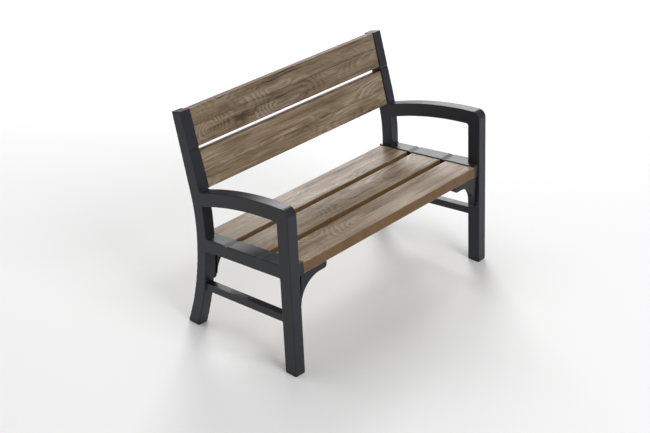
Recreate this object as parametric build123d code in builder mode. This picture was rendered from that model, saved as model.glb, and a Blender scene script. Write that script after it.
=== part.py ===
from build123d import *
import os
from math import cos, radians, sin, tan

# Two-seat garden bench: two hollow moulded side frames joined by wood-look planks.
# X runs along the seat, the sitter faces -Y, Z is up and the feet stand on Z = 0.

# ---- Driving dimensions, mm ----
HALF_WIDTH = 564.1          # outer face of a side frame where it crosses Y = 0
TOE = 2.04                  # degrees that each frame turns in towards the back
FRAME_THICKNESS = 46.4
WALL = 5.0                  # wall of every hollow moulding
EDGE_RADIUS = 3.0
JOINT_RADIUS = 5.0          # inside corners where the members of a frame meet
CAP_HEIGHT = 6.0            # foot cap below each leg
PLUG_HEIGHT = 9.0           # of the plug that holds a cap in its leg

FRONT_FOOT = (-300.4, -247.4)   # front and rear edge of the front leg on the floor
FRONT_LEG_TOP = (-264.0, -213.5)
ARM_TOP = 647.0             # highest point of the armrest
ARM_JOINT = (190.0, 561.6)  # the armrest's top line ends here, inside the post
ARM_DEPTH = 56.0
ARM_CORNER = 30.0

REAR_FOOT = (209.5, 264.8)
KNEE = (151.0, 198.7)       # edges of the rear leg at its foremost point
KNEE_HEIGHT = 375.0
POST_TOP_FRONT = (255.3, 856.2)
POST_TOP_REAR = (300.4, 845.2)
BACK_LEAN = 16.4            # degrees from upright
REAR_LEAN = 15.0            # of the post's rear edge, which tapers the post upwards

LEG_AXIS = -225.0           # a depth inside the front leg, used to find its corners with the rail
ARM_BOW = 28.0              # drop of the armrest's line at mid-length below its front
ARM_MIDDLE = -10.0          # depth of that mid-length point
BELLY_RADIUS = 8.0          # inside corner between armrest and front leg

SEAT_TILT = 5.45            # the seat falls towards the back
RAIL_TOP_AT_ZERO = 405.0
RAIL_DEPTH = 52.0
RAIL_FRONT = -271.0
RAIL_REAR = 206.0
RAIL_ENDS = (-250.0, 175.0)     # the slim rail stops inside the front leg and the post
GROOVE_DEPTH = 4.0
GROOVE_WIDTH = 27.0         # about the gap between two planks
GROOVE_SLOPE = 9.0          # run of the groove's steep side
STRETCHER_TOP_AT_ZERO = 210.0
STRETCHER_DEPTH = 29.0
STRETCHER_TILT = 4.5
STRETCHER_ENDS = (-238.0, 168.0)
STRETCHER_INSET = 8.0
STRETCHER_WIDTH = 30.0

SEAT_LENGTH = 1004.6
SEAT_PLANK_WIDTH = 139.6
SEAT_PLANK_THICKNESS = 42.0
SEAT_PITCH = 167.2
SEAT_FRONT = -272.6
SEAT_DROP = 4.5             # plank tops below the rail tops
BACK_LENGTH = 1013.6
BACK_PLANK_WIDTH = 139.1
BACK_PLANK_THICKNESS = 38.0
BACK_PITCH = 156.3
BACK_START = (173.4, 571.0)     # lower front edge of the lower plank
PLANK_WALL = 4.0
PLANK_RADIUS = 3.0
TENON_REACH = 26.0
TUBE_WALL = 1.6
TUBE_RADIUS = 2.0
TUBE_SLACK = 8.0            # total room beside the tube in its chamber
TUBE_SHORT = 20.0           # the tube is this much shorter than its plank

BRACKET_ARM = 150.0         # along the plank
BRACKET_LEG = 139.0         # down the leg
BRACKET_THICKNESS = 30.0
BRACKET_RADIUS = 98.0
BRACKET_FLANGE = 13.5
FLANGE_SETBACK = 5.0
BRACKET_TIP_RADIUS = 12.0
BRACKET_FOOT_RADIUS = 10.0
BRACKET_FOOT_FLAT = 15.0    # straight part of the flange below the arc
BRACKET_SCREW_RISE = 55.0   # of the level screw above the bracket's foot
BRACKET_SCREW_INSET = 85.0  # of the upright screw from the plank's end
LEG_SEAT = 12.0             # bracket material left under the level screw's head
PLANK_SEAT = 14.0           # the same under the upright screw's head
FRONT_BRACKET_FACE = -273.5
REAR_BRACKET_FACE = 157.0

SCREW_RADIUS = 2.5
SCREW_HEAD_RADIUS = 5.0
SCREW_HEAD_HEIGHT = 3.0
PLANK_SCREW_LENGTH = 18.0
LEG_SCREW_LENGTH = 22.0
UPRIGHT_SCREW_LENGTH = 17.0
CLEARANCE = 0.2
SHELF_CLEARANCE = 0.3       # between a bracket and the shelf that it passes under

os.makedirs("parts", exist_ok=True)

toe_sin = sin(radians(TOE))
toe_cos = cos(radians(TOE))
tilt = tan(radians(SEAT_TILT))
frame_plane = Plane(
    origin=(HALF_WIDTH, 0, 0), x_dir=(-toe_sin, toe_cos, 0), z_dir=(toe_cos, toe_sin, 0)
)


def leg_inner_x(y):
    """Where the inner face of a leg stands at depth y."""
    return HALF_WIDTH - FRAME_THICKNESS / toe_cos - y * tan(radians(TOE))


def rail_top(y):
    return RAIL_TOP_AT_ZERO - y * tilt


def post_front(z):
    """Depth of the post's straight front edge at height z."""
    return POST_TOP_FRONT[0] - (POST_TOP_FRONT[1] - z) * tan(radians(BACK_LEAN))


def plank_underside(y):
    return rail_top(y) - SEAT_DROP - SEAT_PLANK_THICKNESS / cos(radians(SEAT_TILT))


def bracket_screw_height(face_y):
    """Height of the level screw that holds a bracket to its leg."""
    return plank_underside(face_y) - BRACKET_LEG + BRACKET_SCREW_RISE


def stretcher_top(y):
    return STRETCHER_TOP_AT_ZERO - y * tan(radians(STRETCHER_TILT))


def seat_plane(number):
    """Plane on the top front edge of a seat plank: X along the bench, Y backwards."""
    start = SEAT_FRONT + number * SEAT_PITCH * cos(radians(SEAT_TILT))
    return Plane(
        origin=(0, start, rail_top(start) - SEAT_DROP),
        x_dir=(1, 0, 0),
        z_dir=(0, sin(radians(SEAT_TILT)), cos(radians(SEAT_TILT))),
    )


def back_plane(number):
    """Plane on the lower front edge of a back plank: X along the bench, Y up the back."""
    rise = number * BACK_PITCH
    return Plane(
        origin=(
            0,
            BACK_START[0] + rise * sin(radians(BACK_LEAN)),
            BACK_START[1] + rise * cos(radians(BACK_LEAN)),
        ),
        x_dir=(1, 0, 0),
        z_dir=(0, -cos(radians(BACK_LEAN)), sin(radians(BACK_LEAN))),
    )


def bend_radius(knee, top, lean):
    """Radius of the bend that leaves the knee upright and runs straight on to the top."""
    across, up = top[0] - knee, top[1] - KNEE_HEIGHT
    angle = radians(lean)
    return (up * sin(angle) - across * cos(angle)) / (1 - cos(angle))


def post_outline(inset, floor):
    """Rear leg and post, drawn in the frame plane and pulled in by inset all round."""
    front, rear = KNEE[0] + inset, KNEE[1] - inset
    front_top = (POST_TOP_FRONT[0] + inset * 0.7, POST_TOP_FRONT[1] - inset * 1.3)
    rear_top = (POST_TOP_REAR[0] - inset * 1.3, POST_TOP_REAR[1] - inset * 0.7)
    with BuildSketch() as outline:
        with BuildLine():
            lower_front = TangentArc(
                (front, KNEE_HEIGHT), (REAR_FOOT[0] + inset, floor), tangent=(0, -1)
            )
            lower_rear = TangentArc(
                (rear, KNEE_HEIGHT), (REAR_FOOT[1] - inset, floor), tangent=(0, -1)
            )
            upper_front = JernArc(
                (front, KNEE_HEIGHT), (0, 1), bend_radius(front, front_top, BACK_LEAN), -BACK_LEAN
            )
            upper_rear = JernArc(
                (rear, KNEE_HEIGHT), (0, 1), bend_radius(rear, rear_top, REAR_LEAN), -REAR_LEAN
            )
            Line(upper_front @ 1, front_top)
            Line(front_top, rear_top)
            Line(rear_top, upper_rear @ 1)
            Line(lower_front @ 1, lower_rear @ 1)
        make_face()
    return outline.sketch


def arm_outline(inset, floor):
    """Armrest and front leg in one sweep, ending inside the post."""
    front_foot, rear_foot = FRONT_FOOT[0] + inset, FRONT_FOOT[1] - inset
    front_top, rear_top = FRONT_LEG_TOP[0] + inset, FRONT_LEG_TOP[1] - inset
    top, joint = ARM_TOP - inset, ARM_JOINT[1] - inset
    under = ARM_DEPTH - 2 * inset
    corner = ARM_CORNER - inset
    with BuildSketch() as outline:
        with BuildLine():
            crest = ThreePointArc((ARM_JOINT[0], joint), (ARM_MIDDLE, top - ARM_BOW), (front_top, top))
            front = Line(crest @ 1, (front_foot, floor))
            foot = Line(front @ 1, (rear_foot, floor))
            belly_end = (rear_top, top - under - 2)
            rear = Line(foot @ 1, belly_end)
            belly = ThreePointArc(
                belly_end, (ARM_MIDDLE, top - ARM_BOW + 1 - under), (ARM_JOINT[0], joint - under)
            )
            Line(belly @ 1, crest @ 0)
        make_face()
        fillet(vertices().sort_by_distance((front_top, top))[0], corner)
        fillet(vertices().sort_by_distance(belly_end)[0], BELLY_RADIUS + inset)
    return outline.sketch


def rail_outline(start, end, inset):
    """Sloping seat rail between two depths."""
    bottom = RAIL_DEPTH - inset
    with BuildSketch() as outline:
        with BuildLine():
            Polyline(
                (start, rail_top(start) - inset),
                (end, rail_top(end) - inset),
                (end, rail_top(end) - bottom),
                (start, rail_top(start) - bottom),
                close=True,
            )
        make_face()
    return outline.sketch


def stretcher_outline(inset):
    start, end = STRETCHER_ENDS
    bottom = STRETCHER_DEPTH - inset
    with BuildSketch() as outline:
        with BuildLine():
            Polyline(
                (start, stretcher_top(start) - inset),
                (end, stretcher_top(end) - inset),
                (end, stretcher_top(end) - bottom),
                (start, stretcher_top(start) - bottom),
                close=True,
            )
        make_face()
    return outline.sketch


def chamber_centres(width):
    """Centre line of each of the three chambers, and the width of a chamber."""
    chamber = (width - 4 * PLANK_WALL) / 3
    return [PLANK_WALL + chamber / 2 + i * (chamber + PLANK_WALL) for i in range(3)], chamber


seat_centres, seat_chamber = chamber_centres(SEAT_PLANK_WIDTH)
back_centres, back_chamber = chamber_centres(BACK_PLANK_WIDTH)
seat_chamber_height = SEAT_PLANK_THICKNESS - 2 * PLANK_WALL
back_chamber_height = BACK_PLANK_THICKNESS - 2 * PLANK_WALL
tenon_screw_x = TENON_REACH / 2     # screws stand this far in from the plank's end
outer_chambers = (0, 2)


# ---- Side frames ----
with BuildPart() as right_side_frame:
    # Post, armrest and front leg as one outline, with the seat rail across them
    with BuildSketch(frame_plane):
        add(post_outline(0, CAP_HEIGHT))
        add(arm_outline(0, CAP_HEIGHT))
        add(rail_outline(*RAIL_ENDS, 0))
        corners = [
            (172, 568),
            (KNEE[0] + 11, 516),
            (KNEE[0], rail_top(KNEE[0])),
            (KNEE[0], rail_top(KNEE[0]) - RAIL_DEPTH),
            (LEG_AXIS, rail_top(LEG_AXIS)),
            (LEG_AXIS, rail_top(LEG_AXIS) - RAIL_DEPTH),
        ]
        fillet([vertices().sort_by_distance(corner)[0] for corner in corners], JOINT_RADIUS)
    extrude(amount=-FRAME_THICKNESS)
    rail_direction = Axis(
        (0, 0, 0), frame_plane.x_dir * cos(radians(SEAT_TILT)) - Vector(0, 0, sin(radians(SEAT_TILT)))
    )
    side_faces = faces().sort_by(Axis((0, 0, 0), frame_plane.z_dir))
    inner_edges = side_faces[0].edges().filter_by(rail_direction, reverse=True)
    fillet(side_faces[-1].edges() + inner_edges, EDGE_RADIUS)
    # The rail widens inboard into a shelf that the seat planks butt against
    with BuildSketch(frame_plane.offset(-FRAME_THICKNESS / 2)):
        add(rail_outline(*RAIL_ENDS, 0))
    extrude(amount=-80)
    with BuildSketch(frame_plane.offset(-FRAME_THICKNESS)):
        add(rail_outline(RAIL_FRONT, RAIL_REAR, 0))
    extrude(amount=-60)
    with BuildSketch(Plane.XY):
        with Locations((SEAT_LENGTH / 2 - 100, 0)):
            Rectangle(200, 700)
    extrude(amount=600, mode=Mode.SUBTRACT)
    # Tenons that the plank ends slide over, reaching into their outer chambers
    for number in range(3):
        with BuildSketch(seat_plane(number).offset(-PLANK_WALL)):
            with Locations([
                (SEAT_LENGTH / 2 - TENON_REACH / 2 + 2, seat_centres[i]) for i in outer_chambers
            ]):
                Rectangle(TENON_REACH + 4, seat_chamber - 2)
        extrude(amount=-seat_chamber_height)
    for number in range(2):
        with BuildSketch(back_plane(number).offset(-PLANK_WALL)):
            with Locations([
                (BACK_LENGTH / 2 - (TENON_REACH - 6) / 2, back_centres[i]) for i in outer_chambers
            ]):
                Rectangle(TENON_REACH + 6, back_chamber - 2)
        extrude(amount=-back_chamber_height)
    # Pilot holes in the tenons
    for number in range(3):
        under = seat_plane(number).offset(-SEAT_PLANK_THICKNESS)
        with BuildSketch(under):
            with Locations([
                (SEAT_LENGTH / 2 - tenon_screw_x, seat_centres[i]) for i in outer_chambers
            ]):
                Circle(SCREW_RADIUS)
        extrude(amount=PLANK_WALL + PLANK_SCREW_LENGTH, mode=Mode.SUBTRACT)
    for number in range(2):
        behind = back_plane(number).offset(-BACK_PLANK_THICKNESS)
        with BuildSketch(behind):
            with Locations([
                (BACK_LENGTH / 2 - tenon_screw_x, back_centres[i]) for i in outer_chambers
            ]):
                Circle(SCREW_RADIUS)
        extrude(amount=PLANK_WALL + PLANK_SCREW_LENGTH, mode=Mode.SUBTRACT)
    # Lower stretcher, set in from the outer face
    with BuildSketch(frame_plane.offset(-STRETCHER_INSET)):
        add(stretcher_outline(0))
    extrude(amount=-STRETCHER_WIDTH)
    # Hollow inside, open at the feet
    with BuildSketch(frame_plane.offset(-WALL)):
        add(post_outline(WALL, CAP_HEIGHT - 1))
        add(arm_outline(WALL, CAP_HEIGHT - 1))
        add(rail_outline(*RAIL_ENDS, WALL))
    extrude(amount=-(FRAME_THICKNESS - 2 * WALL), mode=Mode.SUBTRACT)
    with BuildSketch(frame_plane.offset(-STRETCHER_INSET - WALL)):
        add(stretcher_outline(WALL))
    extrude(amount=-(STRETCHER_WIDTH - 2 * WALL), mode=Mode.SUBTRACT)
    # Grooves across the rail and the post, in line with the gaps between the planks
    with BuildSketch(frame_plane.offset(1)):
        for number in (1, 2):
            rear = SEAT_FRONT + number * SEAT_PITCH * cos(radians(SEAT_TILT))
            front = rear - GROOVE_WIDTH
            with BuildLine():
                Polyline(
                    (rear, rail_top(rear) + 0.01),
                    (front + GROOVE_SLOPE, rail_top(front + GROOVE_SLOPE) - GROOVE_DEPTH),
                    (front, rail_top(front) + 0.01),
                    close=True,
                )
            make_face()
        gap_top = back_plane(1).origin.Z
        gap_bottom = gap_top - (BACK_PITCH - BACK_PLANK_WIDTH) * cos(radians(BACK_LEAN))
        gap_middle = (gap_top + gap_bottom) / 2
        with BuildLine():
            Polyline(
                (post_front(gap_top) - 0.01, gap_top),
                (post_front(gap_middle) + GROOVE_DEPTH, gap_middle),
                (post_front(gap_bottom) - 0.01, gap_bottom),
                close=True,
            )
        make_face()
    extrude(amount=-100, mode=Mode.SUBTRACT)
    # Pilot holes for the bracket screws, through the inner wall of each leg
    for face_y in (FRONT_BRACKET_FACE, REAR_BRACKET_FACE):
        with BuildSketch(Plane.YZ.offset(leg_inner_x(face_y) - 10)):
            with Locations((face_y + BRACKET_THICKNESS / 2, bracket_screw_height(face_y))):
                Circle(SCREW_RADIUS)
        extrude(amount=10 + WALL + 5, mode=Mode.SUBTRACT)
right_side_frame.part.label = "right_side_frame"
export_step(right_side_frame.part, "parts/right_side_frame.step")

with BuildPart() as left_side_frame:
    add(right_side_frame.part)
    mirror(about=Plane.YZ, mode=Mode.REPLACE)
left_side_frame.part.label = "left_side_frame"
export_step(left_side_frame.part, "parts/left_side_frame.step")


# ---- Foot caps: a flat pad under each leg with a plug that fills the leg's opening ----
def foot_cap(name, foot, side):
    front, rear = foot
    wide = FRAME_THICKNESS
    with BuildPart() as cap:
        with BuildSketch(Plane.XY):
            with Locations(Location((HALF_WIDTH, 0, 0), (0, 0, TOE))):
                with Locations((-wide / 2, (front + rear) / 2)):
                    RectangleRounded(wide - 1, rear - front - 1, EDGE_RADIUS)
        extrude(amount=CAP_HEIGHT)
        chamfer(faces().sort_by(Axis.Z)[0].edges(), 1)
        with BuildSketch(Plane.XY.offset(CAP_HEIGHT)):
            with Locations(Location((HALF_WIDTH, 0, 0), (0, 0, TOE))):
                with Locations((-wide / 2, (front + rear) / 2)):
                    Rectangle(wide - 2 * WALL - 1, rear - front - 2 * WALL - 8)
        extrude(amount=PLUG_HEIGHT)
        if side == "left":
            mirror(about=Plane.YZ, mode=Mode.REPLACE)
    cap.part.label = name
    export_step(cap.part, f"parts/{name}.step")


for side in ("left", "right"):
    foot_cap(f"front_{side}_foot_cap", FRONT_FOOT, side)
    foot_cap(f"rear_{side}_foot_cap", REAR_FOOT, side)


# ---- Planks: hollow extrusions of three chambers, open at the ends ----
def plank(name, plane, length, width, thickness, centres, chamber, spots, upright_spots=()):
    """The plane lies on the show face, with X along the plank and Y across it."""
    with BuildPart() as board:
        with BuildSketch(plane):
            with Locations((0, width / 2)):
                Rectangle(length, width)
        extrude(amount=-thickness)
        long_edges = edges().filter_by(Axis.X)
        fillet(long_edges, PLANK_RADIUS)
        with BuildSketch(plane.offset(-PLANK_WALL)):
            with Locations([(0, centre) for centre in centres]):
                Rectangle(length, chamber)
        extrude(amount=-(thickness - 2 * PLANK_WALL), mode=Mode.SUBTRACT)
        # Clearance holes for the screws, through the hidden wall only
        with BuildSketch(plane.offset(-thickness)):
            with Locations(spots):
                Circle(SCREW_RADIUS + CLEARANCE)
        extrude(amount=PLANK_WALL, mode=Mode.SUBTRACT)
        for x, y in upright_spots:
            with BuildSketch(Plane.XY.offset(plank_underside(y) - 5)):
                with Locations((x, y)):
                    Circle(SCREW_RADIUS + CLEARANCE)
            extrude(amount=5 + PLANK_WALL + 5, mode=Mode.SUBTRACT)
    board.part.label = name
    export_step(board.part, f"parts/{name}.step")


seat_screw_spots = [
    (sign * (SEAT_LENGTH / 2 - tenon_screw_x), seat_centres[i])
    for sign in (-1, 1)
    for i in outer_chambers
]
back_screw_spots = [
    (sign * (BACK_LENGTH / 2 - tenon_screw_x), back_centres[i])
    for sign in (-1, 1)
    for i in outer_chambers
]
bracket_screw_x = SEAT_LENGTH / 2 - BRACKET_SCREW_INSET
bracket_faces = {"front": (FRONT_BRACKET_FACE,), "rear": (REAR_BRACKET_FACE,)}

for number, place in enumerate(("front", "middle", "rear")):
    upright_spots = [
        (sign * bracket_screw_x, face_y + BRACKET_THICKNESS / 2)
        for sign in (-1, 1)
        for face_y in bracket_faces.get(place, ())
    ]
    plank(
        f"{place}_seat_plank", seat_plane(number), SEAT_LENGTH, SEAT_PLANK_WIDTH,
        SEAT_PLANK_THICKNESS, seat_centres, seat_chamber, seat_screw_spots, upright_spots,
    )
    # Steel box tube in the middle chamber, so that the hollow plank carries a sitter
    with BuildPart() as tube:
        with BuildSketch(seat_plane(number).offset(-PLANK_WALL)):
            with Locations((0, seat_centres[1])):
                Rectangle(SEAT_LENGTH - TUBE_SHORT, seat_chamber - TUBE_SLACK)
        extrude(amount=-seat_chamber_height)
        fillet(edges().filter_by(Axis.X), TUBE_RADIUS)
        with BuildSketch(seat_plane(number).offset(-PLANK_WALL - TUBE_WALL)):
            with Locations((0, seat_centres[1])):
                Rectangle(SEAT_LENGTH - TUBE_SHORT, seat_chamber - TUBE_SLACK - 2 * TUBE_WALL)
        extrude(amount=-(seat_chamber_height - 2 * TUBE_WALL), mode=Mode.SUBTRACT)
    tube.part.label = f"{place}_seat_tube"
    export_step(tube.part, f"parts/{place}_seat_tube.step")

for number, place in enumerate(("lower", "upper")):
    plank(
        f"{place}_back_plank", back_plane(number), BACK_LENGTH, BACK_PLANK_WIDTH,
        BACK_PLANK_THICKNESS, back_centres, back_chamber, back_screw_spots,
    )


# ---- Corner brackets: quarter-arc gussets between the legs and the seat ----
def bracket(name, face_y, side):
    """Moulded gusset whose front face stands at face_y; returns the seats of its two screws."""
    middle = face_y + BRACKET_THICKNESS / 2
    leg_x = leg_inner_x(face_y) + 3
    under = plank_underside(face_y)
    tip_x = leg_x - BRACKET_ARM
    low = under - BRACKET_LEG
    arc_x = leg_x - BRACKET_FLANGE - 3
    with BuildPart() as gusset:
        with BuildSketch(Plane.XZ.offset(-face_y)):
            with BuildLine():
                arc_top = (arc_x - BRACKET_RADIUS, low + BRACKET_FOOT_FLAT + BRACKET_RADIUS)
                arc = RadiusArc((arc_x, low + BRACKET_FOOT_FLAT), arc_top, -BRACKET_RADIUS)
                Polyline(
                    arc @ 1,
                    (tip_x, arc_top[1]),
                    (tip_x, under + 8),
                    (leg_x, under + 8),
                    (leg_x, low),
                    (arc_x, low),
                    arc @ 0,
                )
            make_face()
            fillet(vertices().sort_by_distance((tip_x, arc_top[1]))[0], BRACKET_TIP_RADIUS)
            fillet(vertices().sort_by_distance((arc_x, low))[0], BRACKET_FOOT_RADIUS)
        extrude(amount=-BRACKET_THICKNESS)
        # The flange beside the leg is set back from the face
        with BuildSketch(Plane.XZ.offset(-face_y)):
            with Locations((arc_x + 20, low + 60)):
                Rectangle(40, 240)
        extrude(amount=-FLANGE_SETBACK, mode=Mode.SUBTRACT)
        # Trimmed against the leg, the rail and the plank
        with BuildSketch(frame_plane.offset(-FRAME_THICKNESS)):
            with Locations((0, 300)):
                Rectangle(700, 500)
        extrude(amount=30, mode=Mode.SUBTRACT)
        with BuildSketch(Plane.YZ.offset(tip_x - 10)):
            with BuildLine():
                Polyline(
                    (-350, plank_underside(-350)),
                    (300, plank_underside(300)),
                    (300, 500),
                    (-350, 500),
                    close=True,
                )
            make_face()
        extrude(amount=200, mode=Mode.SUBTRACT)
        with BuildSketch(Plane((SEAT_LENGTH / 2, 0, -SHELF_CLEARANCE), (0, 1, 0), (1, 0, 0))):
            add(rail_outline(RAIL_FRONT - 20, RAIL_REAR + 20, 0))
        extrude(amount=60, mode=Mode.SUBTRACT)
        # Screw holes: level into the leg, and upright into the plank
        screw_z = bracket_screw_height(face_y)
        with BuildSketch(Plane.YZ.offset(leg_x - 70)):
            with Locations((middle, screw_z)):
                Circle(SCREW_HEAD_RADIUS + CLEARANCE)
        extrude(amount=70 - LEG_SEAT, mode=Mode.SUBTRACT)
        with BuildSketch(Plane.YZ.offset(leg_x - LEG_SEAT)):
            with Locations((middle, screw_z)):
                Circle(SCREW_RADIUS + CLEARANCE)
        extrude(amount=30, mode=Mode.SUBTRACT)
        with BuildSketch(Plane.XY.offset(under - 60)):
            with Locations((bracket_screw_x, middle)):
                Circle(SCREW_HEAD_RADIUS + CLEARANCE)
        extrude(amount=60 - PLANK_SEAT, mode=Mode.SUBTRACT)
        with BuildSketch(Plane.XY.offset(under - 20)):
            with Locations((bracket_screw_x, middle)):
                Circle(SCREW_RADIUS + CLEARANCE)
        extrude(amount=30, mode=Mode.SUBTRACT)
        # Pockets over the heads of the plank screws
        for number in (0, 2):
            with BuildSketch(seat_plane(number).offset(-SEAT_PLANK_THICKNESS)):
                with Locations(seat_screw_spots):
                    Circle(SCREW_HEAD_RADIUS + CLEARANCE)
            extrude(amount=-SCREW_HEAD_HEIGHT - 1, mode=Mode.SUBTRACT)
        if side == "left":
            mirror(about=Plane.YZ, mode=Mode.REPLACE)
    gusset.part.label = name
    export_step(gusset.part, f"parts/{name}.step")
    return (leg_x - LEG_SEAT, middle, screw_z), (bracket_screw_x, middle, under - PLANK_SEAT)


leg_screw_spots = []
plank_screw_spots = []
for side, sign in (("left", -1), ("right", 1)):
    for place, face_y in (("front", FRONT_BRACKET_FACE), ("rear", REAR_BRACKET_FACE)):
        leg_spot, plank_spot = bracket(f"{place}_{side}_bracket", face_y, side)
        leg_screw_spots.append((sign * leg_spot[0], leg_spot[1], leg_spot[2]))
        plank_screw_spots.append((sign * plank_spot[0], plank_spot[1], plank_spot[2]))


# ---- Screws: pan heads seated on the hidden faces ----
def screw_set(name, seats, length):
    """One pan-head screw on each plane, its shank running along the plane's Z axis."""
    with BuildPart() as screws:
        for seat in seats:
            with BuildSketch(seat):
                Circle(SCREW_RADIUS)
            extrude(amount=length)
            with BuildSketch(seat):
                Circle(SCREW_HEAD_RADIUS)
            extrude(amount=-SCREW_HEAD_HEIGHT)
    screws.part.label = name
    export_step(screws.part, f"parts/{name}.step")


def plank_seats(plane, thickness, spots):
    hidden = plane.offset(-thickness)
    return [Plane(origin=hidden.from_local_coords((x, y, 0)), z_dir=hidden.z_dir) for x, y in spots]


seat_plank_seats = [
    seat
    for number in range(3)
    for seat in plank_seats(seat_plane(number), SEAT_PLANK_THICKNESS, seat_screw_spots)
]
back_plank_seats = [
    seat
    for number in range(2)
    for seat in plank_seats(back_plane(number), BACK_PLANK_THICKNESS, back_screw_spots)
]
leg_seats = [Plane(origin=spot, z_dir=(spot[0], 0, 0)) for spot in leg_screw_spots]
upright_seats = [Plane(origin=spot, z_dir=(0, 0, 1)) for spot in plank_screw_spots]
screw_set("seat_plank_screws", seat_plank_seats, PLANK_SCREW_LENGTH)
screw_set("back_plank_screws", back_plank_seats, PLANK_SCREW_LENGTH)
screw_set("bracket_leg_screws", leg_seats, LEG_SCREW_LENGTH)
screw_set("bracket_plank_screws", upright_seats, UPRIGHT_SCREW_LENGTH)
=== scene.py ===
import bpy
import math
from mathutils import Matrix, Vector


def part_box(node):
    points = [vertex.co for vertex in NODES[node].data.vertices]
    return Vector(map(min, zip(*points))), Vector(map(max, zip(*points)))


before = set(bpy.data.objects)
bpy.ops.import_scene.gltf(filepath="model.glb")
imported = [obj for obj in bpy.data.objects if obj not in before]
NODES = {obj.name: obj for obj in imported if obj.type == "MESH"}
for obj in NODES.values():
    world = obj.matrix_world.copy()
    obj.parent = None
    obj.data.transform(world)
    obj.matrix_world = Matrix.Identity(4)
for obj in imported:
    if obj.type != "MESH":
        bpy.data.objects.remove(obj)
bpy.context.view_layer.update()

for loaded in bpy.context.selected_objects:
    loaded.select_set(False)

# ---- colours, linear -------------------------------------------------------------------------
GRAPHITE = (0.0175, 0.0190, 0.0245, 1)
GRAPHITE_PALE = (0.0255, 0.0272, 0.0335, 1)
GRAPHITE_FLECK = (0.060, 0.062, 0.068, 1)
BRACKET_GRAPHITE = (0.0115, 0.0125, 0.0160, 1)
FOOT_BLACK = (0.010, 0.0105, 0.012, 1)
OAK_PALE = (0.352, 0.260, 0.170, 1)
OAK_MID = (0.196, 0.132, 0.075, 1)
OAK_DARK = (0.060, 0.034, 0.015, 1)
OAK_LIME = (0.520, 0.440, 0.345, 1)
CORE_BROWN = (0.135, 0.072, 0.025, 1)
CORE_BROWN_PALE = (0.162, 0.092, 0.036, 1)
ZINC = (0.56, 0.57, 0.59, 1)
GALVANISED = (0.50, 0.51, 0.53, 1)
SPANGLE = (0.66, 0.67, 0.68, 1)
FLOOR_WHITE = (0.885, 0.885, 0.885, 1)
WORLD_WHITE = (1, 1, 1, 1)

# ---- gloss, as the shader's specular level, and roughness ------------------------------------
FRAME_GLOSS = 0.27
BRACKET_GLOSS = 0.24
FOOT_GLOSS = 0.4
PLANK_GLOSS = 0.25
FLOOR_GLOSS = 0.1
TUBE_ROUGHNESS = 0.30
SCREW_ROUGHNESS = 0.22
FLOOR_ROUGHNESS = 0.9

# ---- moulded resin: pattern cells per metre, and how much of each layer shows ----------------
SPECKLE_CELLS = 950.0
PEBBLE_CELLS = 420.0
HAZE_CELLS = 9.0
FLECK_SHARE = 0.35
HAZE_SHARE = 0.35
PEBBLE_SHARE = 0.45
RESIN_ROUGHNESS = 0.29
PEBBLE_ROUGHNESS = 0.14
HAZE_ROUGHNESS = 0.08
PEBBLE_HEIGHT = 0.7
SPECKLE_HEIGHT = 0.3
FRAME_TEXTURE_DEPTH = 0.00022
FOOT_TEXTURE_DEPTH = 0.00015

# ---- oak print: cells per metre along and across the plank, and each layer's seed shift ------
DEPTH_CELLS = (2.2, 1.2, 0.0)
WANDER_CELLS = (3.0, 6.0, 7.0)
RIPPLE_CELLS = (14.0, 55.0, 3.0)
RING_BAND_CELLS = (1.6, 11.0, 11.0)
FIBRE_CELLS = (7.0, 230.0, 19.0)
BAND_CELLS = (2.4, 58.0, 41.0)
PORE_CELLS = (45.0, 900.0, 23.0)
CLOUD_CELLS = (3.4, 17.0, 31.0)
RINGS_PER_METRE = 80.0
HEART_WANDER = 0.07
HEART_DEPTH = 0.50
RING_RIPPLE = 0.012
FIBRE_WEIGHT = 0.50
BAND_WEIGHT = 0.50

# ---- planks: shares of each figure in the colour, roughness and relief -----------------------
PRINT_STARTS_BELOW = 0.0032
PRINT_FULL_BELOW = 0.0012
STRIP_SEED_STEP = 5.3
STRIP_HEART_STEP = 0.045
CLOUD_SHARE = 0.45
STREAK_SHARE = 0.70
RING_DARKNESS = 0.66
STREAK_DARKNESS = 0.50
LIME_SHARE = 0.62
PORE_SHARE = 0.26
SEAM_SHARE = 0.55
SEAM_CORE = 0.0004
SEAM_EDGE = 0.0022
MOTTLE_CELLS = 24.0
OAK_ROUGHNESS = 0.36
STREAK_ROUGHNESS = 0.10
PORE_ROUGHNESS = 0.22
CLOUD_ROUGHNESS = 0.06
RING_RELIEF = -0.45
PORE_RELIEF = -0.4
STREAK_RELIEF = -0.3
RELIEF_DEPTH = 0.0009
RELIEF_STRENGTH = 0.8

# ---- metal: cells per metre and scratches ----------------------------------------------------
SCRATCH_CELLS = 300.0
SPANGLE_CELLS = 60.0
SCRATCH_ROUGHNESS = 0.2
SCRATCH_DEPTH = 0.0001
SCRATCH_STRENGTH = 0.5
BRUSHED_ALONG = (0.02, 1, 1)
UNBRUSHED = (1, 1, 1)

# ---- camera ----------------------------------------------------------------------------------
CAMERA_PLACE = (-3.6070, -3.0791, 2.7869)
CAMERA_PITCH = 27.536
CAMERA_YAW = 48.912
CAMERA_LENS = 77.29
CAMERA_SENSOR = 36
CAMERA_NEAR = 0.05
CAMERA_FAR = 60

bpy.ops.object.camera_add(
    location=CAMERA_PLACE,
    rotation=(math.radians(90 - CAMERA_PITCH), 0, -math.radians(CAMERA_YAW)),
)
camera = bpy.context.object
camera.name = "camera"
camera.data.lens = CAMERA_LENS
camera.data.sensor_width = CAMERA_SENSOR
camera.data.clip_start, camera.data.clip_end = CAMERA_NEAR, CAMERA_FAR
bpy.context.scene.camera = camera


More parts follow.
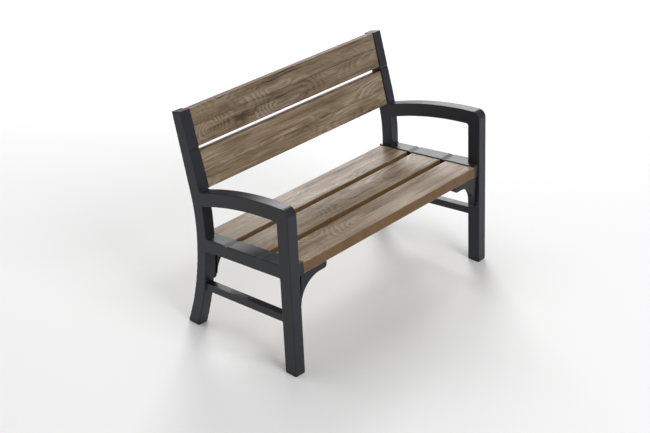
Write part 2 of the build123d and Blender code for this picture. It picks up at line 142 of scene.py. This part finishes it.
# ---- node helpers ----------------------------------------------------------------------------
class Wiring:
    """The nodes of one material or group, with short ways to add and join them."""

    def __init__(self, tree):
        self.tree = tree

    def add(self, kind, **values):
        node = self.tree.nodes.new(kind)
        for name, value in values.items():
            setattr(node, name, value)
        return node

    def join(self, source, target):
        self.tree.links.new(source, target)

    def feed(self, socket, value):
        """Joins a socket, or sets a plain value."""
        if isinstance(value, bpy.types.NodeSocket):
            self.join(value, socket)
        else:
            socket.default_value = value

    def place(self):
        """Object coordinates, in metres."""
        return self.add("ShaderNodeTexCoord").outputs["Object"]

    def maths(self, operation, *values):
        node = self.add("ShaderNodeMath", operation=operation)
        for socket, value in zip(node.inputs, values):
            self.feed(socket, value)
        return node.outputs[0]

    def times(self, first, second):
        return self.maths("MULTIPLY", first, second)

    def plus(self, first, second):
        return self.maths("ADD", first, second)

    def times_plus(self, value, factor, offset):
        return self.maths("MULTIPLY_ADD", value, factor, offset)

    def centred(self, value, span):
        """A noise of 0 to 1, spread over a span about zero."""
        return self.times_plus(value, span, -span / 2)

    def ramp(self, value, low, high, out_low=0.0, out_high=1.0):
        node = self.add("ShaderNodeMapRange", interpolation_type="SMOOTHSTEP")
        for name, number in (
            ("From Min", low), ("From Max", high), ("To Min", out_low), ("To Max", out_high),
        ):
            node.inputs[name].default_value = number
        self.feed(node.inputs["Value"], value)
        return node.outputs["Result"]

    def mix(self, share, first, second, blend="MIX"):
        node = self.add("ShaderNodeMix", data_type="RGBA", blend_type=blend)
        self.feed(node.inputs["Factor"], share)
        self.feed(node.inputs[6], first)
        self.feed(node.inputs[7], second)
        return node.outputs[2]

    def noise(self, where, scale, detail, rough):
        node = self.add("ShaderNodeTexNoise")
        self.feed(node.inputs["Vector"], where)
        node.inputs["Scale"].default_value = scale
        node.inputs["Detail"].default_value = detail
        node.inputs["Roughness"].default_value = rough
        return node.outputs["Fac"]

    def bump(self, height, distance, strength=1.0):
        node = self.add("ShaderNodeBump")
        node.inputs["Strength"].default_value = strength
        node.inputs["Distance"].default_value = distance
        self.feed(node.inputs["Height"], height)
        return node.outputs["Normal"]


def new_group(name, takes, gives):
    """A shader node group with named sockets; returns it with its wiring, inputs and outputs."""
    tree = bpy.data.node_groups.new(name, "ShaderNodeTree")
    for socket, kind in takes:
        tree.interface.new_socket(socket, in_out="INPUT", socket_type=kind)
    for socket, kind in gives:
        tree.interface.new_socket(socket, in_out="OUTPUT", socket_type=kind)
    w = Wiring(tree)
    return tree, w, w.add("NodeGroupInput").outputs, w.add("NodeGroupOutput").inputs


# ---- shared effect groups --------------------------------------------------------------------
def moulded_texture_group():
    """Spark-eroded texture of moulded resin: fine pebbles, pale flecks and a soft haze."""
    tree, w, takes, gives = new_group(
        "moulded_texture",
        [("Base", "NodeSocketColor"), ("Pale", "NodeSocketColor")],
        [("Colour", "NodeSocketColor"), ("Roughness", "NodeSocketFloat"),
         ("Height", "NodeSocketFloat")],
    )
    place = w.place()
    speckle = w.noise(place, SPECKLE_CELLS, detail=2.0, rough=0.6)
    pebble = w.noise(place, PEBBLE_CELLS, detail=3.0, rough=0.55)
    haze = w.noise(place, HAZE_CELLS, detail=3.0, rough=0.6)

    tone = w.plus(w.times(w.ramp(haze, 0.3, 0.75), HAZE_SHARE),
                  w.times(w.ramp(pebble, 0.35, 0.7), PEBBLE_SHARE))
    base = w.mix(tone, takes["Base"], takes["Pale"])
    fleck = w.times(w.ramp(speckle, 0.60, 0.74), FLECK_SHARE)
    w.join(w.mix(fleck, base, GRAPHITE_FLECK), gives["Colour"])

    rough = w.times_plus(pebble, PEBBLE_ROUGHNESS, RESIN_ROUGHNESS)
    w.join(w.times_plus(haze, HAZE_ROUGHNESS, rough), gives["Roughness"])
    w.join(w.times_plus(pebble, PEBBLE_HEIGHT, w.times(speckle, SPECKLE_HEIGHT)),
           gives["Height"])
    return tree


def oak_grain_group():
    """Flat-sawn oak print: growth rings cut by a plank that wanders off the heart, with pores."""
    tree, w, takes, gives = new_group(
        "oak_grain",
        [("Along", "NodeSocketFloat"), ("Across", "NodeSocketFloat"), ("Seed", "NodeSocketFloat"),
         ("Heart", "NodeSocketFloat")],
        [("Ring", "NodeSocketFloat"), ("Streak", "NodeSocketFloat"), ("Pore", "NodeSocketFloat"),
         ("Cloud", "NodeSocketFloat")],
    )

    def layer(cells, detail, rough):
        along_cells, across_cells, seed_shift = cells
        spot = w.add("ShaderNodeCombineXYZ")
        w.join(w.times(takes["Along"], along_cells), spot.inputs["X"])
        w.join(w.times(takes["Across"], across_cells), spot.inputs["Y"])
        w.join(w.plus(takes["Seed"], seed_shift), spot.inputs["Z"])
        return w.noise(spot.outputs[0], 1.0, detail, rough)

    # the plank's depth below the log's heart rises and falls along it, so rings close into loops
    depth = layer(DEPTH_CELLS, detail=1.0, rough=0.4)
    wander = layer(WANDER_CELLS, detail=2.0, rough=0.5)
    ripple = layer(RIPPLE_CELLS, detail=3.0, rough=0.6)
    aside = w.maths("SUBTRACT", takes["Across"], takes["Heart"])
    aside = w.plus(aside, w.centred(wander, HEART_WANDER))
    lift = w.centred(depth, HEART_DEPTH)
    radius = w.maths("SQRT", w.plus(w.times(aside, aside), w.times(lift, lift)))
    radius = w.plus(radius, w.centred(ripple, RING_RIPPLE))

    # a ring darkens slowly towards its late wood and ends sharply
    growth = w.maths("FRACT", w.times(radius, RINGS_PER_METRE))
    late = w.times(w.ramp(growth, 0.30, 0.80), w.ramp(growth, 0.90, 1.0, 1.0, 0.0))
    ring_band = w.ramp(layer(RING_BAND_CELLS, detail=2.0, rough=0.5), 0.36, 0.60, 0.15, 1.0)
    w.join(w.times(late, ring_band), gives["Ring"])

    fibre = w.ramp(layer(FIBRE_CELLS, detail=3.0, rough=0.6), 0.40, 0.62)
    band = w.ramp(layer(BAND_CELLS, detail=3.0, rough=0.6), 0.44, 0.63)
    w.join(w.plus(w.times(fibre, FIBRE_WEIGHT), w.times(band, BAND_WEIGHT)), gives["Streak"])
    w.join(w.ramp(layer(PORE_CELLS, detail=2.0, rough=0.55), 0.53, 0.70), gives["Pore"])
    w.join(w.ramp(layer(CLOUD_CELLS, detail=3.0, rough=0.55), 0.40, 0.62), gives["Cloud"])
    return tree


MOULDED_TEXTURE = moulded_texture_group()
OAK_GRAIN = oak_grain_group()


# ---- materials -------------------------------------------------------------------------------
def new_material(name):
    """A material with its own Principled shader; returns it with its wiring and shader."""
    material = bpy.data.materials.new(name)
    material.use_nodes = True
    return material, Wiring(material.node_tree), material.node_tree.nodes["Principled BSDF"]


def moulded_resin(name, base, pale, depth, gloss):
    material, w, shader = new_material(name)
    texture = w.add("ShaderNodeGroup", node_tree=MOULDED_TEXTURE)
    texture.inputs["Base"].default_value = base
    texture.inputs["Pale"].default_value = pale
    w.join(texture.outputs["Colour"], shader.inputs["Base Color"])
    w.join(texture.outputs["Roughness"], shader.inputs["Roughness"])
    w.join(w.bump(texture.outputs["Height"], depth), shader.inputs["Normal"])
    shader.inputs["Specular IOR Level"].default_value = gloss
    return material


def plank_resin(name, middle, lean, thickness, seed, heart, seam, tone, figure):
    """Wood-look resin for one plank whose top leans by an angle about the width axis.

    Grain is printed on the broad faces; the narrow sides and ends are plain brown."""
    material, w, shader = new_material(name)
    plank_axes = w.add("ShaderNodeMapping", vector_type="TEXTURE")
    w.join(w.place(), plank_axes.inputs["Vector"])
    plank_axes.inputs["Location"].default_value = middle
    plank_axes.inputs["Rotation"].default_value = (lean, 0, 0)
    parts = w.add("ShaderNodeSeparateXYZ")
    w.join(plank_axes.outputs[0], parts.inputs[0])
    along, across, height = parts.outputs
    printed = w.ramp(w.maths("ABSOLUTE", height),
                     thickness / 2 - PRINT_STARTS_BELOW, thickness / 2 - PRINT_FULL_BELOW)

    grain = w.add("ShaderNodeGroup", node_tree=OAK_GRAIN)
    w.join(along, grain.inputs["Along"])
    w.join(across, grain.inputs["Across"])
    if seam is not None:
        # two strips of print meet at the seam, each with its own seed and its own heart
        strip = w.maths("GREATER_THAN", across, seam)
        seed = w.times_plus(strip, STRIP_SEED_STEP, seed)
        heart = w.times_plus(strip, STRIP_HEART_STEP, heart)
    w.feed(grain.inputs["Seed"], seed)
    w.feed(grain.inputs["Heart"], heart)
    ring, streak, pore, cloud = (grain.outputs[n] for n in ("Ring", "Streak", "Pore", "Cloud"))

    colour = w.mix(w.times(cloud, CLOUD_SHARE), OAK_PALE, OAK_MID)
    colour = w.mix(w.times(streak, STREAK_SHARE), colour, OAK_MID)
    dark = w.times_plus(w.times(ring, cloud), RING_DARKNESS,
                        w.times(w.times(streak, streak), STREAK_DARKNESS))
    colour = w.mix(w.times(dark, figure), colour, OAK_DARK)
    lime = w.times(ring, w.maths("SUBTRACT", 1.0, cloud))
    colour = w.mix(w.times(lime, LIME_SHARE), colour, OAK_LIME)
    colour = w.mix(w.times(pore, PORE_SHARE), colour, OAK_DARK)
    if seam is not None:
        off_seam = w.maths("ABSOLUTE", w.maths("SUBTRACT", across, seam))
        line = w.ramp(off_seam, SEAM_CORE, SEAM_EDGE, 1.0, 0.0)
        colour = w.mix(w.times(line, SEAM_SHARE), colour, OAK_DARK)
    colour = w.mix(1.0, colour, (tone, tone, tone, 1), "MULTIPLY")

    mottle = w.ramp(w.noise(w.place(), MOTTLE_CELLS, detail=3.0, rough=0.6), 0.3, 0.75)
    core = w.mix(mottle, CORE_BROWN, CORE_BROWN_PALE)
    w.join(w.mix(printed, core, colour), shader.inputs["Base Color"])

    rough = w.times_plus(streak, STREAK_ROUGHNESS, OAK_ROUGHNESS)
    rough = w.times_plus(pore, PORE_ROUGHNESS, rough)
    w.join(w.times_plus(cloud, CLOUD_ROUGHNESS, rough), shader.inputs["Roughness"])

    relief = w.plus(w.times(ring, RING_RELIEF), w.times(pore, PORE_RELIEF))
    relief = w.plus(relief, w.times(streak, STREAK_RELIEF))
    w.join(w.bump(w.times(relief, printed), RELIEF_DEPTH, RELIEF_STRENGTH),
           shader.inputs["Normal"])
    shader.inputs["Specular IOR Level"].default_value = PLANK_GLOSS
    return material


def brushed_metal(name, colour, rough, stretch):
    material, w, shader = new_material(name)
    brushing = w.add("ShaderNodeMapping")
    w.join(w.place(), brushing.inputs["Vector"])
    brushing.inputs["Scale"].default_value = stretch
    scratch = w.noise(brushing.outputs[0], SCRATCH_CELLS, detail=3.0, rough=0.6)
    spangle = w.ramp(w.noise(w.place(), SPANGLE_CELLS, detail=2.0, rough=0.5), 0.35, 0.7)
    w.join(w.mix(spangle, colour, SPANGLE), shader.inputs["Base Color"])
    w.join(w.times_plus(scratch, SCRATCH_ROUGHNESS, rough), shader.inputs["Roughness"])
    w.join(w.bump(scratch, SCRATCH_DEPTH, SCRATCH_STRENGTH), shader.inputs["Normal"])
    shader.inputs["Metallic"].default_value = 1.0
    return material


def finish_with(names, material):
    for name in names:
        mesh = NODES[name].data
        mesh.materials.clear()
        mesh.materials.append(material)


CORNERS = [f"{end}_{side}" for end in ("front", "rear") for side in ("left", "right")]
finish_with(
    ["left_side_frame", "right_side_frame"],
    moulded_resin("graphite_resin", GRAPHITE, GRAPHITE_PALE, FRAME_TEXTURE_DEPTH, FRAME_GLOSS),
)
finish_with(
    [f"{corner}_bracket" for corner in CORNERS],
    moulded_resin("bracket_resin", BRACKET_GRAPHITE, GRAPHITE, FRAME_TEXTURE_DEPTH,
                  BRACKET_GLOSS),
)
finish_with(
    [f"{corner}_foot_cap" for corner in CORNERS],
    moulded_resin("foot_resin", FOOT_BLACK, GRAPHITE, FOOT_TEXTURE_DEPTH, FOOT_GLOSS),
)
finish_with(
    [f"{row}_seat_tube" for row in ("front", "middle", "rear")],
    brushed_metal("galvanised_tube", GALVANISED, TUBE_ROUGHNESS, BRUSHED_ALONG),
)
finish_with(
    ["seat_plank_screws", "back_plank_screws", "bracket_leg_screws", "bracket_plank_screws"],
    brushed_metal("zinc_screw", ZINC, SCREW_ROUGHNESS, UNBRUSHED),
)

SEAT_LEAN = -math.radians(5.45)
BACK_LEAN = math.radians(90 - 16.4)
SEAT_THICKNESS = 0.042
BACK_THICKNESS = 0.038
PLANKS = (
    # node, lean, thickness, seed, heart of the rings, place of the seam, tone, strength of figure
    ("front_seat_plank", SEAT_LEAN, SEAT_THICKNESS, 2.0, -0.010, None, 0.94, 0.8),
    ("middle_seat_plank", SEAT_LEAN, SEAT_THICKNESS, 8.4, 0.020, None, 0.94, 0.8),
    ("rear_seat_plank", SEAT_LEAN, SEAT_THICKNESS, 14.9, -0.030, None, 0.94, 0.8),
    ("lower_back_plank", BACK_LEAN, BACK_THICKNESS, 21.7, -0.045, -0.008, 0.95, 1.0),
    ("upper_back_plank", BACK_LEAN, BACK_THICKNESS, 33.1, -0.030, 0.006, 0.78, 1.0),
)
for node, *print_values in PLANKS:
    low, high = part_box(node)
    finish_with([node], plank_resin(node + "_oak", (low + high) / 2, *print_values))

# ---- floor and light -------------------------------------------------------------------------
FLOOR_SIDE = 40
bpy.ops.mesh.primitive_plane_add(size=FLOOR_SIDE, location=(0, 0, 0))
floor = bpy.context.object
floor.name = "studio_floor"
floor_material, _, floor_shader = new_material("studio_floor")
floor_shader.inputs["Base Color"].default_value = FLOOR_WHITE
floor_shader.inputs["Roughness"].default_value = FLOOR_ROUGHNESS
floor_shader.inputs["Specular IOR Level"].default_value = FLOOR_GLOSS
floor.data.materials.append(floor_material)

LIGHTS = (
    # name, place, point it aims at, width of the disk, power
    ("key_light", (-0.4, 3.6, 8.2), (0, 0, 0), 6.5, 185),
    ("fill_light", (-0.8, -6.8, 5.6), (0, 0, 0.5), 4.8, 330),
    ("sheen_light", (5.2, 4.5, 4.2), (0, 0, 0.4), 3.4, 340),
)
for name, place, aim, width, power in LIGHTS:
    bpy.ops.object.light_add(type="AREA", location=place)
    light = bpy.context.object
    light.name = name
    light.data.shape = "DISK"
    light.data.size = width
    light.data.energy = power
    light.rotation_euler = (Vector(aim) - Vector(place)).to_track_quat("-Z", "Y").to_euler()

WORLD_STRENGTH = 0.37
world = bpy.data.worlds.new("studio")
world.use_nodes = True
background = world.node_tree.nodes["Background"]
background.inputs["Color"].default_value = WORLD_WHITE
background.inputs["Strength"].default_value = WORLD_STRENGTH
bpy.context.scene.world = world
# the plain transform keeps a white floor white
bpy.context.scene.view_settings.view_transform = "Standard"
